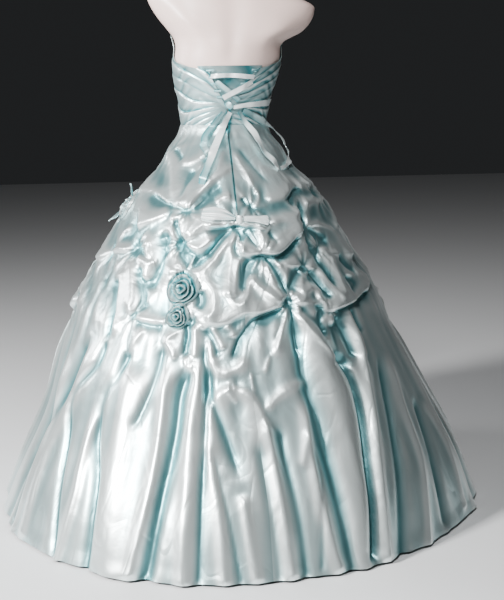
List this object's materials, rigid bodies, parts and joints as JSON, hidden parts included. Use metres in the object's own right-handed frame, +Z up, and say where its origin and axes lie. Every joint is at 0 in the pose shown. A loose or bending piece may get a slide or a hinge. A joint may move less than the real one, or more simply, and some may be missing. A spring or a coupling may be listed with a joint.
{
  "type": "ball gown on dress form",
  "caption": "Strapless floor-length ball gown with a laced back and a picked-up skirt, standing on a limbless dress form.",
  "frame": {"origin": "centre of the dress form's base, on the floor", "axes": "+Z up through the pole, -Y towards the laced back, +Y towards the front, +X towards the wearer's right side"},
  "size_m": [1.3694, 1.3828, 1.55],
  "materials": {
    "satin": "satin, pale aqua",
    "ribbon": "satin ribbon, pale aqua",
    "form_shell": "glossy, pale pinkish white",
    "stand_metal": "brushed"
  },
  "bodies": {
    "root": {"bodice_front": "satin", "bodice_back_left": "satin", "bodice_back_right": "satin", "modesty_panel": "satin", "skirt_back_left": "satin", "skirt_back_right": "satin", "skirt_front": "satin", "rosette_upper": "satin", "rosette_lower": "satin", "rosette_side": "satin", "side_leaf_up": "satin", "side_leaf_down": "satin", "lacing_bar_top": "ribbon", "lacing_crossing_left": "ribbon", "lacing_crossing_right": "ribbon", "lacing_tail_short_right": "ribbon", "lacing_loop_right_inner": "ribbon", "lacing_loop_right_outer": "ribbon", "lacing_tail_left": "ribbon", "lacing_loop_left": "ribbon", "lacing_knot": "ribbon", "bow_loop_left": "ribbon", "bow_loop_right": "ribbon", "bow_band": "ribbon", "lacing_loop_left_1": "ribbon", "lacing_loop_left_2": "ribbon", "lacing_loop_left_3": "ribbon", "lacing_loop_left_4": "ribbon", "lacing_loop_left_5": "ribbon", "lacing_loop_right_1": "ribbon", "lacing_loop_right_2": "ribbon", "lacing_loop_right_3": "ribbon", "lacing_loop_right_4": "ribbon", "lacing_loop_right_5": "ribbon", "form_torso": "form_shell", "form_pole": "stand_metal", "form_base": "stand_metal"}
  },
  "joints": []
}
